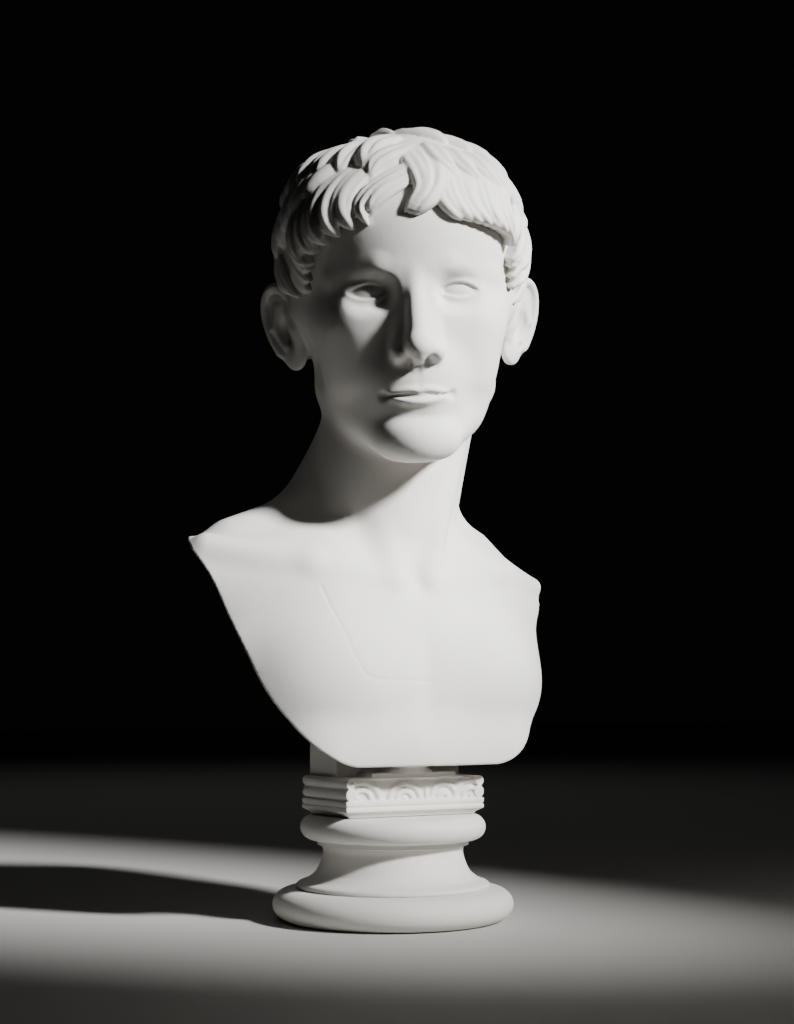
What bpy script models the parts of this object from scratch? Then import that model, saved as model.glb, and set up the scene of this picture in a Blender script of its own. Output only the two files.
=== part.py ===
# Bust of a Roman emperor on a turned socle: bare chest with rounded cut edges, hollow at the
# back, standing on a small carved tablet that rests on a round moulded foot.
# Units are metres, +Z is up, the chest faces -Y and the axis of the foot is the Z axis.
import math

import bmesh
import bpy
import numpy as np
from mathutils import Euler, Matrix, Vector

# Foot: one turned piece.
SOCLE_HEIGHT = 0.070
SOCLE_RADIUS = 0.082
SOCLE_STEPS = 36

# Tablet under the chest, cast in one with the bust.
TABLET_WIDTH = 0.1075
TABLET_DEPTH = 0.0645
TABLET_HEIGHT = 0.030
JOINT_GAP = 0.0003

# Figure above the tablet, from the tablet's top to the top of the hair.
FIGURE_HEIGHT = 0.452
HEAD_TURN = -25.0
HEAD_NOD = 10.0
HEAD_LEAN = -2.5
WALL = 27.0
SHOULDER_DROP = 0.08
LOCK_ROWS = 5
LOCK_WIDTH = 13.5
LOCK_HIGH = 7.0

# The bust is thinned to this many triangles; FACE_CARE keeps more of them on eyes, nose and mouth.
BUST_TRIANGLES = 7900
FACE_CARE = 0.03

# The figure is drawn in its own units, where it stands from TABLET_TOP to FIGURE_TOP and the
# bare head is HEAD_UNITS tall; its forms keep these proportions at any size.
TABLET_TOP = 100.3
FIGURE_TOP = 552.3
HEAD_UNITS = 228.0
FACE_UNITS = 235.0
FIGURE_LOW = (-152, -128, 92)
FIGURE_HIGH = (152, 116, 548)

TABLET_FLOOR = SOCLE_HEIGHT + JOINT_GAP
FIGURE_SCALE = FIGURE_HEIGHT / (FIGURE_TOP - TABLET_TOP)
PLACE = (
    Matrix.Translation((0, 0, TABLET_FLOOR + TABLET_HEIGHT))
    @ Matrix.Scale(FIGURE_SCALE, 4)
    @ Matrix.Translation((0, 0, -TABLET_TOP))
)
HEAD_PLACE = (
    Matrix.Translation((3, -9.5, 429.5))
    @ Matrix.Rotation(math.radians(HEAD_TURN), 4, "Z")
    @ Matrix.Rotation(math.radians(HEAD_NOD), 4, "X")
    @ Matrix.Rotation(math.radians(HEAD_LEAN), 4, "Y")
    @ Matrix.Scale(HEAD_UNITS / FACE_UNITS, 4)
)

for old in list(bpy.data.objects):
    bpy.data.objects.remove(old)
part = bpy.data.collections.new("roman emperor bust")
tools = bpy.data.collections.new("cutters")
bpy.context.scene.collection.children.link(part)
bpy.context.scene.collection.children.link(tools)


def material(name, colour, rough):
    made = bpy.data.materials.new(name)
    made.use_nodes = True
    shader = made.node_tree.nodes["Principled BSDF"]
    shader.inputs["Base Color"].default_value = (*colour, 1)
    shader.inputs["Roughness"].default_value = rough
    return made


def add_object(name, mesh, collection=tools):
    made = bpy.data.objects.new(name, mesh)
    collection.objects.link(made)
    if collection is tools:
        made.hide_render = True
        made.display_type = "WIRE"
    return made


def bake(ob):
    # Turns the modifiers of a working shape into plain mesh.
    graph = bpy.context.evaluated_depsgraph_get()
    mesh = bpy.data.meshes.new_from_object(ob.evaluated_get(graph))
    ob.modifiers.clear()
    ob.data = mesh


def remesh(ob, cell):
    mod = ob.modifiers.new("cells", "REMESH")
    mod.mode = "VOXEL"
    mod.voxel_size = cell
    bake(ob)


# Rounded forms: each gives the distance from points to its surface, negative inside.
def ball(p, centre, radii, turn=(0, 0, 0)):
    q = p - np.array(centre, float)
    if any(turn):
        q = q @ np.array(Euler([math.radians(a) for a in turn]).to_matrix())
    r = np.array(radii, float)
    near = np.sqrt(((q / r) ** 2).sum(1)) + 1e-9
    slope = np.sqrt(((q / (r * r)) ** 2).sum(1)) + 1e-9
    return near * (near - 1) / slope


def rod(p, start, end, r0, r1):
    start = np.array(start, float)
    along = np.array(end, float) - start
    q = p - start
    share = np.clip((q @ along) / (along @ along), 0, 1)
    return np.sqrt(((q - share[:, None] * along) ** 2).sum(1)) - (r0 + (r1 - r0) * share)


def join(a, b, soft):
    h = np.maximum(soft - np.abs(a - b), 0) / soft
    return np.minimum(a, b) - h * h * soft * 0.25


def cut(a, b, soft):
    return -join(-a, b, soft)


def both(a, b, soft):
    return -join(-a, -b, soft)


def fold(p):
    q = p.copy()
    q[:, 0] = np.abs(q[:, 0])
    return q


def ease(a, b, x):
    t = np.clip((x - a) / (b - a), 0, 1)
    return t * t * (3 - 2 * t)


def skull_form(q):
    d = ball(q, (0, 11, 30), (81, 90, 86))
    return join(d, ball(q, (0, -28, 40), (67, 62, 52)), 25)


def lid_edge(x, peak, top, corner=-1.2, inner=15.5, outer=47.5):
    t = np.clip((x - inner) / (outer - inner), 0, 1)
    w = t ** (math.log(0.5) / math.log(peak))
    return corner + (top - corner) * np.sin(np.pi * w) ** 0.8


def nose_form(q):
    d = rod(q, (0, -81, 13), (0, -101.5, -34), 6.2, 7.4)
    d = join(d, rod(q, (6, -79, -2), (9.5, -89, -37), 5.8, 7.6), 8)
    d = join(d, ball(q, (0, -101.5, -38.5), (9.5, 10, 8.5)), 5)
    d = join(d, ball(q, (12.4, -91.5, -42.5), (5.8, 9.0, 6.8), (0, 0, 10)), 5)
    d = join(d, rod(q, (0, -103.5, -45), (0, -91, -48.8), 3.4, 4.4), 3)
    return cut(d, ball(q, (6.2, -96.5, -51.8), (2.6, 5, 4), (0, 0, 14)), 1.5)


def lip_form(q, level, across, deep, tall, bend, bow=0.0):
    # A lip is a flat cushion round the teeth, bent down or up at its ends.
    lip = q.copy()
    lip[:, 2] += bend * q[:, 0] ** 2 + bow * np.exp(-(q[:, 0] / 3.5) ** 2)
    return ball(lip, (0, -76, level), (across, deep, tall))


def face_form(q):
    x, y, z = q[:, 0], q[:, 1], q[:, 2]
    d = skull_form(q)
    d = join(d, ball(q, (0, -8, 2), (72, 74, 60)), 22)
    d = join(d, ball(q, (0, -36, -33), (55, 50, 56)), 20)
    d = join(d, ball(q, (0, -20, -60), (56, 56, 48)), 18)
    # Cheekbone, its arch back to the ear, the cheek and the jaw.
    d = join(d, ball(q, (41, -46, -21), (19, 25, 15)), 24)
    d = join(d, rod(q, (51, -40, -14), (70, 0, -6), 7, 7), 20)
    d = join(d, ball(q, (36, -38, -46), (20, 26, 28)), 22)
    d = join(d, rod(q, (60, 8, -14), (50, 6, -64), 11, 10), 20)
    d = join(d, rod(q, (49, 4, -66), (17, -68, -100), 11, 14), 20)
    d = join(d, ball(q, (0, -22, -86), (44, 54, 20)), 16)
    d = join(d, ball(q, (0, -66, -62), (31, 25, 32)), 14)
    d = join(d, ball(q, (0, -77, -101), (20, 15.5, 16)), 14)
    # Brow, eye hollows, nose.
    d = join(d, rod(q, (0, -79, 15), (22, -77, 18.5), 6, 6), 9)
    d = join(d, rod(q, (22, -77, 18.5), (51, -60, 11), 6, 5), 9)
    d = cut(d, ball(q, (22, -89, -2), (8, 15, 9)), 8)
    d = cut(d, ball(q, (34, -89, -2), (16, 15, 12), (0, 0, 14)), 8)
    d = join(d, nose_form(q), 6)
    # Blank eyeball between two lids, under the fold of the brow.
    d = join(d, rod(q, (20, -71.5, 12.5), (47, -58, 8.5), 5, 5), 4)
    eye, turned = (31.5, -62.5, 0), (0, 0, 12)
    d = join(d, both(ball(q, eye, (19.5, 16.4, 15.8), turned), lid_edge(x, 0.43, 5.6) - z, 0.8), 2.5)
    d = join(d, both(ball(q, eye, (19.0, 15.8, 15.2), turned), z - lid_edge(x, 0.58, -5.0), 0.8), 3.5)
    d = join(d, ball(q, eye, (17.2, 13.9, 13.6), turned), 0.5)
    # Lips, the line between them, and the folds around.
    d = join(d, lip_form(q, -67.0, 24, 17.2, 4.8, 0.0062, 1.2), 2.5)
    d = join(d, lip_form(q, -75.6, 22, 16.6, 5.2, -0.0085), 3)
    d = cut(d, rod(q, (0, -95.0, -71.2), (24, -83.2, -71.2), 1.5, 0.9), 1.4)
    d = cut(d, ball(q, (24.5, -84, -71.3), (2.4, 3.2, 2)), 4)
    d = cut(d, rod(q, (0, -95.3, -53), (0, -95.8, -61), 2.4, 3.0), 3)
    front = ease(-60, -80, y)
    return d + 2.0 * np.exp(-((z + 86.5) / 5.5) ** 2 - (x / 19) ** 2) * front


def ear_form(q):
    tilt = math.radians(-12)
    flare = math.radians(44)
    up = np.array((0.26, math.sin(-tilt), math.cos(tilt)))
    up /= np.linalg.norm(up)
    back = np.array((math.sin(flare), math.cos(flare), 0))
    back -= up * (up @ back)
    back /= np.linalg.norm(back)
    out = np.cross(back, up)
    out *= np.sign(out[0])
    r = q - np.array((86.5, 13, -18.0))
    a, b, c = r @ back, r @ up, r @ out
    p = np.stack([a, b, c], 1)
    half, tall = 17.5 + 0.10 * np.clip(b, -40, 40), 33.0
    ring = np.sqrt((a / half) ** 2 + (b / tall) ** 2) + 1e-9
    slope = np.sqrt((tall * a / (half * ring)) ** 2 + (half * b / (tall * ring)) ** 2 + 1e-9)
    edge = (ring - 1) * half * tall / slope
    # Dished plate, rolled rim, inner ridge, bowl, front flap, lobe and root.
    d = both(edge, np.abs(c + 1.0 + 0.004 * a * a) - 2.6, 2)
    rim = np.sqrt((edge + 3.0) ** 2 + (c - 1.5) ** 2) - 3.3
    d = join(d, both(rim, -(b + 22), 6), 2)
    d = join(d, rod(p, (3, -14, 1.5), (7.5, 2, 2.2), 2.6, 2.8), 3)
    d = join(d, rod(p, (7.5, 2, 2.2), (1, 16, 0.5), 2.8, 2.4), 3)
    d = cut(d, ball(p, (-3.5, -3, 4.0), (8.5, 11.5, 7)), 3)
    d = join(d, ball(p, (-12.5, -7, 2.6), (3.4, 5.5, 3.4)), 3)
    d = join(d, ball(p, (-3.5, -25, 0.5), (9, 8.5, 3.6)), 4)
    return join(d, ball(p, (-10, -2, -9), (9, 20, 14)), 5)


def head_form(q):
    # Only worked out near the head; further away a plain sphere stands for it.
    far = np.sqrt(((q - (0, 5, 0)) ** 2).sum(1)) - 150
    near = far < 25
    d = far + 40.0
    n = fold(q[near])
    d[near] = join(face_form(n), ear_form(n), 2.5)
    return d


def from_head(v):
    return tuple(HEAD_PLACE @ Vector(v))


def neck_form(p):
    d = rod(p, from_head((0, 0, -74)), (-4, 18, 236), 42, 40)
    d = join(d, rod(p, from_head((0, 22, -50)), (-3, 32, 240), 39, 42), 18)
    for s in (1, -1):
        d = join(d, rod(p, from_head((48 * s, 20, -50)), (13 * s, -24, 229), 10, 6), 11)
        d = join(d, rod(p, from_head((50 * s, 26, -54)), (38 * s - 3, 0, 236), 8, 7), 14)
        d = join(d, rod(p, from_head((24 * s, 46, -60)), (70 * s, 44, 258), 13, 12), 18)
    return join(d, ball(p, from_head((0, -22, -118)), (13, 15, 20)), 14)


def curve(at, knots, values):
    # Smooth curve through a few values, straight beyond its ends.
    k = np.array(knots, float)
    v = np.array(values, float)
    slope = np.gradient(v, k)
    i = np.clip(np.searchsorted(k, at) - 1, 0, len(k) - 2)
    wide = k[i + 1] - k[i]
    t = np.clip((at - k[i]) / wide, 0, 1)
    inner = (2 * t ** 3 - 3 * t ** 2 + 1) * v[i] + (3 * t ** 2 - 2 * t ** 3) * v[i + 1]
    bent = (t ** 3 - 2 * t ** 2 + t) * slope[i] + (t ** 3 - t ** 2) * slope[i + 1]
    past = np.minimum(at - k[0], 0) * slope[0] + np.maximum(at - k[-1], 0) * slope[-1]
    return inner + bent * wide + past


def front_form(p):
    # Chest mass, breast muscles, shoulder stumps, slope of the neck muscles, collarbones.
    # The figure's left shoulder sits lower than the right one.
    q = fold(p)
    drop = np.maximum(p[:, 0] - 40, 0) + 4.5 * np.maximum(p[:, 0] - 95, 0)
    q[:, 2] += SHOULDER_DROP * drop * ease(190, 240, p[:, 2])
    d = ball(q, (0, 54, 140), (155, 104, 155))
    d = join(d, ball(q, (54, -11, 163), (49, 38, 42)), 22)
    d = join(d, rod(q, (0, -18, 112), (62, -12, 110), 36, 37), 12)
    d = join(d, rod(q, (55, 14, 229), (140, 46, 226), 32, 32), 24)
    d = join(d, rod(q, (28, 36, 282), (100, 44, 251), 20, 22), 14)
    d = join(d, rod(q, (14, -24, 225), (70, -10, 238), 6, 7), 10)
    return join(d, rod(q, (70, -10, 238), (132, 20, 250), 7, 8), 12)


RIM_LEVEL = (104, 112, 120, 136, 152, 176, 200, 232, 256)
RIM_HALF = (60.5, 71, 81, 95.2, 105.4, 115.5, 122.9, 131.3, 134.5)
RIM_DEEP = (-50, -42, -36.2, -28, -20.9, -11, 1.6, 16, 42)


def outline_form(p, floor=104.3, slant=38.0):
    # The curved side cuts of the chest, running inward to the back, and its flat lower edge.
    q = fold(p)
    x, y, z = q[:, 0], q[:, 1], q[:, 2]
    rim = curve(z, RIM_LEVEL, RIM_HALF)
    slope = curve(z + 1, RIM_LEVEL, RIM_HALF) - rim
    beta = math.radians(slant)
    side = (x - rim) * math.cos(beta) + (y - curve(z, RIM_LEVEL, RIM_DEEP)) * math.sin(beta)
    return both(side / np.sqrt(1 + (slope * math.cos(beta)) ** 2), floor - z, 4)


def pillar_form(p, half=(47, 18.5, 68), middle=(0, 11.5, 164)):
    q = np.abs(p - np.array(middle)) - np.array(half)
    return np.minimum(q.max(1), 0) + np.sqrt((np.maximum(q, 0) ** 2).sum(1)) - 1.5


def body_form(p):
    x, y, z = p[:, 0], p[:, 1], p[:, 2]
    front = front_form(p)
    full = join(both(front, y - 64, 14), neck_form(p), 12)
    hollow = both(front + WALL, z - (222 - 0.0012 * x * x), 18)
    d = cut(full, hollow, 6)
    d = both(d, outline_form(p), 1.5)
    d = join(d, pillar_form(p), 6)
    # Low flared neck between the chest and the tablet.
    flare = join(ball(p, (0, -13, 98.5), (30, 16, 5.5)), ball(p, (0, -15, 105), (13, 13, 10)), 7)
    d = join(d, flare, 3)
    head = head_form(np.array(p @ HEAD_TURNED[:3, :3].T + HEAD_TURNED[:3, 3]))
    d = join(d, head * (HEAD_UNITS / FACE_UNITS), 9)
    # Pit of the neck and the line between the breast muscles.
    facing = ease(0, -15, y)
    d = d + 3.0 * np.exp(-((x / 11) ** 2 + ((z - 227) / 12) ** 2)) * facing
    return d + 1.6 * np.exp(-(x / 9) ** 2) * ease(100, 135, z) * ease(215, 180, z) * facing


HEAD_TURNED = np.array(HEAD_PLACE.inverted())


def rough_shape(name, form, low, high, cell):
    # Walls of the cells that lie inside the form: a first shape for the carving.
    count = [int(math.ceil((b - a) / cell)) for a, b in zip(low, high)]
    axes = [a + cell * (np.arange(n) + 0.5) for a, n in zip(low, count)]
    grid = np.stack(np.meshgrid(*axes, indexing="ij"), -1).reshape(-1, 3)
    inside = np.pad((form(grid) < 0).reshape(count), 1)
    quads = []
    for axis in range(3):
        turned = np.moveaxis(inside, axis, 0)
        for first, second, flip in ((turned[:-1], turned[1:], False), (turned[1:], turned[:-1], True)):
            at = np.argwhere(first & ~second)
            corner = np.repeat(at[:, None, :], 4, 1)
            corner[:, :, 0] += 1
            loop = ((0, 0), (1, 0), (1, 1), (0, 1))
            for k, (u, v) in enumerate(loop[::-1] if flip else loop):
                corner[:, k, 1] += u
                corner[:, k, 2] += v
            corner = corner[:, :, ((0, 1, 2), (1, 0, 2), (1, 2, 0))[axis]]
            quads.append(corner[:, ::-1] if axis == 1 else corner)
    corners = np.concatenate(quads)
    flat = corners.reshape(-1, 3)
    points, index = np.unique(flat, axis=0, return_inverse=True)
    mesh = bpy.data.meshes.new(name)
    where = np.array(low) + (points - 1) * cell
    mesh.from_pydata(where.tolist(), [], index.reshape(-1, 4).tolist())
    return add_object(name, mesh)


def carve(ob, form, steps, limit):
    # Moves every vertex down the slope of the form until it lies on the surface.
    mesh = ob.data
    co = np.empty(len(mesh.vertices) * 3, np.float64)
    for _ in range(steps):
        mesh.vertices.foreach_get("co", co)
        p = co.reshape(-1, 3)
        d = form(p)
        g = np.stack([form(p + e) - d for e in np.eye(3) * 0.3], 1)
        g /= np.linalg.norm(g, axis=1)[:, None] + 1e-9
        p = p - np.clip(d, -limit, limit)[:, None] * g
        mesh.vertices.foreach_set("co", p.ravel())
        mesh.update()


# Hair. Places on the scalp are given by two angles: away from the whorl at the back of the
# crown, and around it, with zero over the nose and + to the figure's left.
HAIR_MIDDLE = np.array((0.0, 8, 22))
CROWN = np.array((0, 0.5, 0.866))
BROW = np.array((0, -0.866, 0.5))
LEFT = np.array((1.0, 0, 0))
HAIR_EDGE = (
    (0, -86, 47), (30, -80, 46), (56, -60, 38), (68, -36, 22), (72, -20, -12), (78, -2, 12),
    (80, 16, 24), (76, 34, 4), (68, 42, -34), (52, 56, -62), (30, 72, -72), (0, 78, -74),
)
# Fans of locks over the brow and temples: the first and the last lock, each from root to tip as
# (away, around), how many locks the fan has, their width, their height as a share, how blunt they end.
BROW_FANS = (
    (((78, -46), (86, -51), (94, -53), (102, -54), (110, -53)),
     ((74, -10), (84, -20), (93, -26), (100, -27), (107, -24)), 5, 15.5, 0.9, 4.5),
    (((80, 3), (88, -7), (94, -15), (100, -20), (107, -18)),
     ((86, 1), (91, -5), (95, -11), (99, -15), (103, -17)), 2, 14.5, 0.9, 4.5),
    (((62, 3), (69, -2), (75, -8), (80, -13), (87, -16)),
     ((64, -4), (69, -8), (74, -12), (78, -16), (83, -19)), 2, 16, 1.0, 5),
    (((50, -3), (57, -9), (65, -14), (73, -17), (82, -18)),
     ((48, -52), (54, -57), (60, -62), (66, -67), (72, -72)), 6, 17.5, 1.5, 3.8),
    (((62, -20), (69, -28), (76, -36), (81, -42), (86, -46)),
     ((64, -62), (71, -68), (78, -73), (85, -77), (92, -80)), 5, 17.5, 1.0, 4),
    (((66, -1), (78, 1), (88, 3), (97, 2), (105, -5)),
     ((62, 8), (78, 11), (92, 10), (101, 5), (107, -3)), 3, 14.5, 1.0, 5.5),
    (((78, 13), (87, 11), (95, 11), (101, 14), (105, 20)),
     ((76, 44), (86, 40), (94, 39), (99, 41), (103, 47)), 7, 15, 0.85, 8),
    (((58, 14), (66, 12), (74, 12), (81, 14), (88, 20)),
     ((60, 46), (68, 42), (75, 41), (82, 43), (89, 50)), 4, 18, 0.95, 5),
    (((36, -4), (40, 4), (44, 12), (49, 19), (55, 24)),
     ((40, 40), (46, 47), (52, 53), (58, 59), (64, 64)), 4, 18, 1.05, 4.5),
)
SIDE_FANS = (
    (((78, 53), (87, 50), (95, 48), (101, 47), (106, 49)),
     ((86, 61), (93, 59), (100, 57), (107, 54), (111, 51)), 2, 14, 0.7, 5),
    (((96, 63), (101, 60), (106, 57), (110, 55), (113, 53)),
     ((104, 69), (108, 67), (112, 65), (116, 63), (119, 61)), 3, 13, 0.45, 5),
)


def scalp(q):
    # The hair lies thicker over the temples than on the crown.
    return skull_form(fold(q)) - 2.0 - 5.5 * ease(25, 70, np.abs(q[:, 0]))


def scalp_normal(q):
    d = scalp(q)
    g = np.stack([scalp(q + e) - d for e in np.eye(3) * 0.2], 1)
    return g / (np.linalg.norm(g, axis=1)[:, None] + 1e-9)


def on_scalp(away, around):
    r = np.radians(away)[:, None]
    s = np.radians(around)[:, None]
    ray = np.cos(r) * CROWN + np.sin(r) * (np.cos(s) * BROW + np.sin(s) * LEFT)
    t = np.full(len(away), 95.0)
    for _ in range(7):
        t = t - scalp(HAIR_MIDDLE + t[:, None] * ray)
    return HAIR_MIDDLE + t[:, None] * ray


def edge_at(around):
    rows = []
    for point in HAIR_EDGE:
        v = np.array(point, float) - HAIR_MIDDLE
        away = math.degrees(math.acos(v @ CROWN / np.linalg.norm(v)))
        rows.append((math.degrees(math.atan2(v @ LEFT, v @ BROW)), away))
    rows.sort()
    return np.interp(abs(around), [r[0] for r in rows], [r[1] for r in rows])


def lock_rows(rows=LOCK_ROWS, width=LOCK_WIDTH, reach=1.9, seed=3):
    # Overlapping rows of comma locks from the whorl down to the hair's edge.
    rng = np.random.default_rng(seed)
    locks = []
    for k in range(rows):
        around = -180.0
        while around < 179:
            edge = edge_at(around)
            gap = edge / rows
            tip = edge - (rows - 1 - k) * gap
            root = max(tip - reach * gap, 2.0)
            step = math.degrees(width / (92 * max(math.sin(math.radians(0.5 * (tip + root))), 0.12)))
            at = around + step * (0.5 if k % 2 else 0.0)
            jog = rng.normal(size=5)
            around += step
            # The brow belongs to the fans.
            if -75 < at < 58 and tip > 46:
                continue
            hook = 1.0 if -150 < at < 60 else -1.0
            if abs(at) > 105:
                hook = 1.0 if math.sin(math.radians(at * 4 + 75 * k)) > 0 else -1.0
            bow = -6.5 * hook * (1 + 0.2 * jog[0])
            turn = math.degrees(1 / (92 * max(math.sin(math.radians(tip)), 0.25)))
            steps = []
            for s in (0.0, 0.33, 0.67, 1.0):
                across = bow * math.sin(math.pi * s) + 7.0 * hook * s ** 3
                reached = root + (tip - root) * s + (1.5 * jog[1] if k < rows - 1 else 0.6 * jog[1])
                steps.append((max(reached, 1.0), at + jog[2] * step * 0.12 + across * turn))
            locks.append((steps, width * (1.30 + 0.1 * jog[3]), 1.0, 3.6))
    return locks


def lock_fans():
    mirrored = [
        ([(a, -s) for a, s in first], [(a, -s) for a, s in last], *rest)
        for first, last, *rest in SIDE_FANS
    ]
    locks = []
    for first, last, count, size, tall, blunt in (*BROW_FANS, *SIDE_FANS, *mirrored):
        for share in np.linspace(0, 1, count):
            locks.append((np.array(first) * (1 - share) + np.array(last) * share, size, tall, blunt))
    return locks


def lock_paths(locks, count=16):
    # Smooth curves through the given places, laid on the scalp.
    t = np.linspace(0, 1, count)
    fine = []
    for steps, *_ in locks:
        c = np.array(steps, float)
        knots = np.linspace(0, 1, len(c))
        fine.append(np.stack([curve(t, knots, c[:, 0]), curve(t, knots, c[:, 1])], 1))
    fine = np.array(fine)
    p = on_scalp(fine[..., 0].ravel(), fine[..., 1].ravel())
    n = scalp_normal(p)
    p = p.reshape(len(locks), count, 3)
    n = n.reshape(len(locks), count, 3)
    along = np.gradient(p, axis=1)
    along /= np.linalg.norm(along, axis=2)[..., None] + 1e-9
    return p, n, along


def hair_shape(name, locks, around=20, along=14, strands=3, high=LOCK_HIGH, sink=8.5):
    # Every lock is a long drop with a ridged top, sunk into the scalp.
    p, n, t = lock_paths(locks)
    source = bmesh.new()
    bmesh.ops.create_uvsphere(source, u_segments=around, v_segments=along, radius=1)
    mesh = bpy.data.meshes.new(name)
    source.to_mesh(mesh)
    source.free()
    unit = np.array([v.co for v in mesh.vertices])
    made = add_object(name, mesh)
    copies = made.modifiers.new("locks", "ARRAY")
    copies.count = len(locks)
    copies.use_relative_offset = False
    copies.use_constant_offset = True
    copies.constant_offset_displace = (0, 0, 0)
    bake(made)
    s = np.arccos(np.clip(-unit[:, 2], -1, 1)) / math.pi
    turn = np.arctan2(unit[:, 1], unit[:, 0])
    turn[np.abs(unit[:, 2]) > 0.9999] = math.pi / 2
    k = s * (p.shape[1] - 1)
    i = np.minimum(k.astype(int), p.shape[1] - 2)
    f = (k - i)[None, :, None]
    middle = p[:, i] * (1 - f) + p[:, i + 1] * f
    normal = n[:, i] * (1 - f) + n[:, i + 1] * f
    ahead = t[:, i] * (1 - f) + t[:, i + 1] * f
    side = np.cross(ahead, normal)
    side /= np.linalg.norm(side, axis=2)[..., None] + 1e-9
    end = np.sqrt(np.clip(s / 0.10, 0, 1))
    width, stout, blunt = (np.array([lock[k] for lock in locks])[:, None] for k in (1, 2, 3))
    taper = (1 - s[None] ** blunt) ** 0.8
    half = 0.5 * width * (0.72 + 0.28 * np.sin(math.pi * s)) * taper * end
    crest = high * (0.30 + 0.70 * ease(0.0, 0.62, s)) * (1 - 0.40 * ease(0.75, 1.0, s)) * end
    crest = crest * np.clip((1 - s) / 0.04, 0, 1) ** 0.5
    u, v = np.cos(turn), np.sin(turn)
    groove = 1 - 0.30 * (1 - np.abs(np.sin(strands * turn)) ** 0.7) * ease(1.0, 0.8, np.abs(u))
    top = np.where(v >= 0, crest * np.abs(v) ** 0.75 * groove, 0)
    under = np.where(v < 0, sink * end * np.abs(v), 0)
    wide = np.where(v >= 0, u, u * 0.8)
    co = middle + side * (half * wide[None])[..., None] + normal * (stout * top - under)[..., None]
    made.data.vertices.foreach_set("co", co.ravel())
    made.data.transform(HEAD_PLACE)
    made.data.update()
    return made


def hair_cap(name, lift=0.5, sink=8.0, short=5.0):
    # Thin layer under the locks, so that none of the scalp shows between them.
    source = bmesh.new()
    bmesh.ops.create_uvsphere(source, u_segments=48, v_segments=32, radius=1)
    mesh = bpy.data.meshes.new(name)
    source.to_mesh(mesh)
    source.free()
    unit = np.array([v.co for v in mesh.vertices])
    t = 1 - np.abs(np.arcsin(np.clip(unit[:, 2], -1, 1))) / (math.pi / 2)
    around = np.degrees(np.arctan2(unit[:, 0], unit[:, 1]))
    p = on_scalp(t * (edge_at(around) - short), around)
    outer = lift - (lift + sink / 2) * t ** 8
    inner = -sink * (1 - t ** 8) - sink / 2 * t ** 8
    high = np.where(unit[:, 2] >= 0, outer, inner)
    mesh.vertices.foreach_set("co", (p + scalp_normal(p) * high[:, None]).ravel())
    mesh.transform(HEAD_PLACE)
    return add_object(name, mesh)


def ring_stack(name, rings):
    # Closed solid through rectangles of (half width, half depth, level).
    bm = bmesh.new()
    loops = []
    for half, deep, level in rings:
        corners = ((-half, -deep), (half, -deep), (half, deep), (-half, deep))
        loops.append([bm.verts.new((x, y, level)) for x, y in corners])
    for low, high in zip(loops, loops[1:]):
        for k in range(4):
            bm.faces.new((low[k], low[(k + 1) % 4], high[(k + 1) % 4], high[k]))
    bm.faces.new(loops[0][::-1])
    bm.faces.new(loops[-1])
    mesh = bpy.data.meshes.new(name)
    bm.to_mesh(mesh)
    bm.free()
    return add_object(name, mesh)


def arc_band(name, centre, inner, outer, angles, deep, tall=1.0, steps=8):
    # Part of a flat ring standing on the front, from y = deep[0] to deep[1].
    bm = bmesh.new()
    a0, a1 = (math.radians(a) for a in angles)
    rows = []
    for i in range(steps + 1):
        a = a0 + (a1 - a0) * i / steps
        corners = ((inner, deep[0]), (outer, deep[0]), (outer, deep[1]), (inner, deep[1]))
        row = [(centre[0] + r * math.cos(a), y, centre[1] + r * tall * math.sin(a)) for r, y in corners]
        rows.append([bm.verts.new(c) for c in row])
    for low, high in zip(rows, rows[1:]):
        for k in range(4):
            bm.faces.new((low[k], low[(k + 1) % 4], high[(k + 1) % 4], high[k]))
    bm.faces.new(rows[0])
    bm.faces.new(rows[-1])
    bmesh.ops.recalc_face_normals(bm, faces=bm.faces)
    mesh = bpy.data.meshes.new(name)
    bm.to_mesh(mesh)
    bm.free()
    return add_object(name, mesh)


def roll(name, centre, radius, length, sides=14):
    bm = bmesh.new()
    stand = Matrix.Translation((centre[0], 0, centre[1])) @ Matrix.Rotation(math.radians(90), 4, "X")
    bmesh.ops.create_cone(
        bm, cap_ends=True, segments=sides, radius1=radius, radius2=radius, depth=length, matrix=stand
    )
    mesh = bpy.data.meshes.new(name)
    bm.to_mesh(mesh)
    bm.free()
    return add_object(name, mesh)


def add_to(target, other):
    mod = target.modifiers.new(other.name, "BOOLEAN")
    mod.operation = "UNION"
    mod.solver = "EXACT"
    mod.object = other


# The tablet: hollow moulding at its foot, two thin plates, the carved field, a narrow cap.
# Its steps are (inset at the sides, inset front and back, level) in thirtieths of its height.
TABLET_STEPS = (
    (5, 5, 0), (4.6, 4.6, 0.7), (3.4, 3.4, 2.2), (1.2, 1.2, 3.6), (0.2, 0.2, 4.0), (0, 0, 6.7),
    (0.8, 0.8, 7.0), (0.8, 0.8, 7.4), (0, 0, 7.7), (0, 0, 11.3), (4, 2.2, 11.6), (4, 2.2, 26.8),
    (21, 3.2, 26.8), (21, 3.2, 28.2), (21.8, 4, 28.4), (21.8, 4, 28.7), (21.2, 3.4, 28.9), (21.2, 3.4, 30),
)
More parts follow.
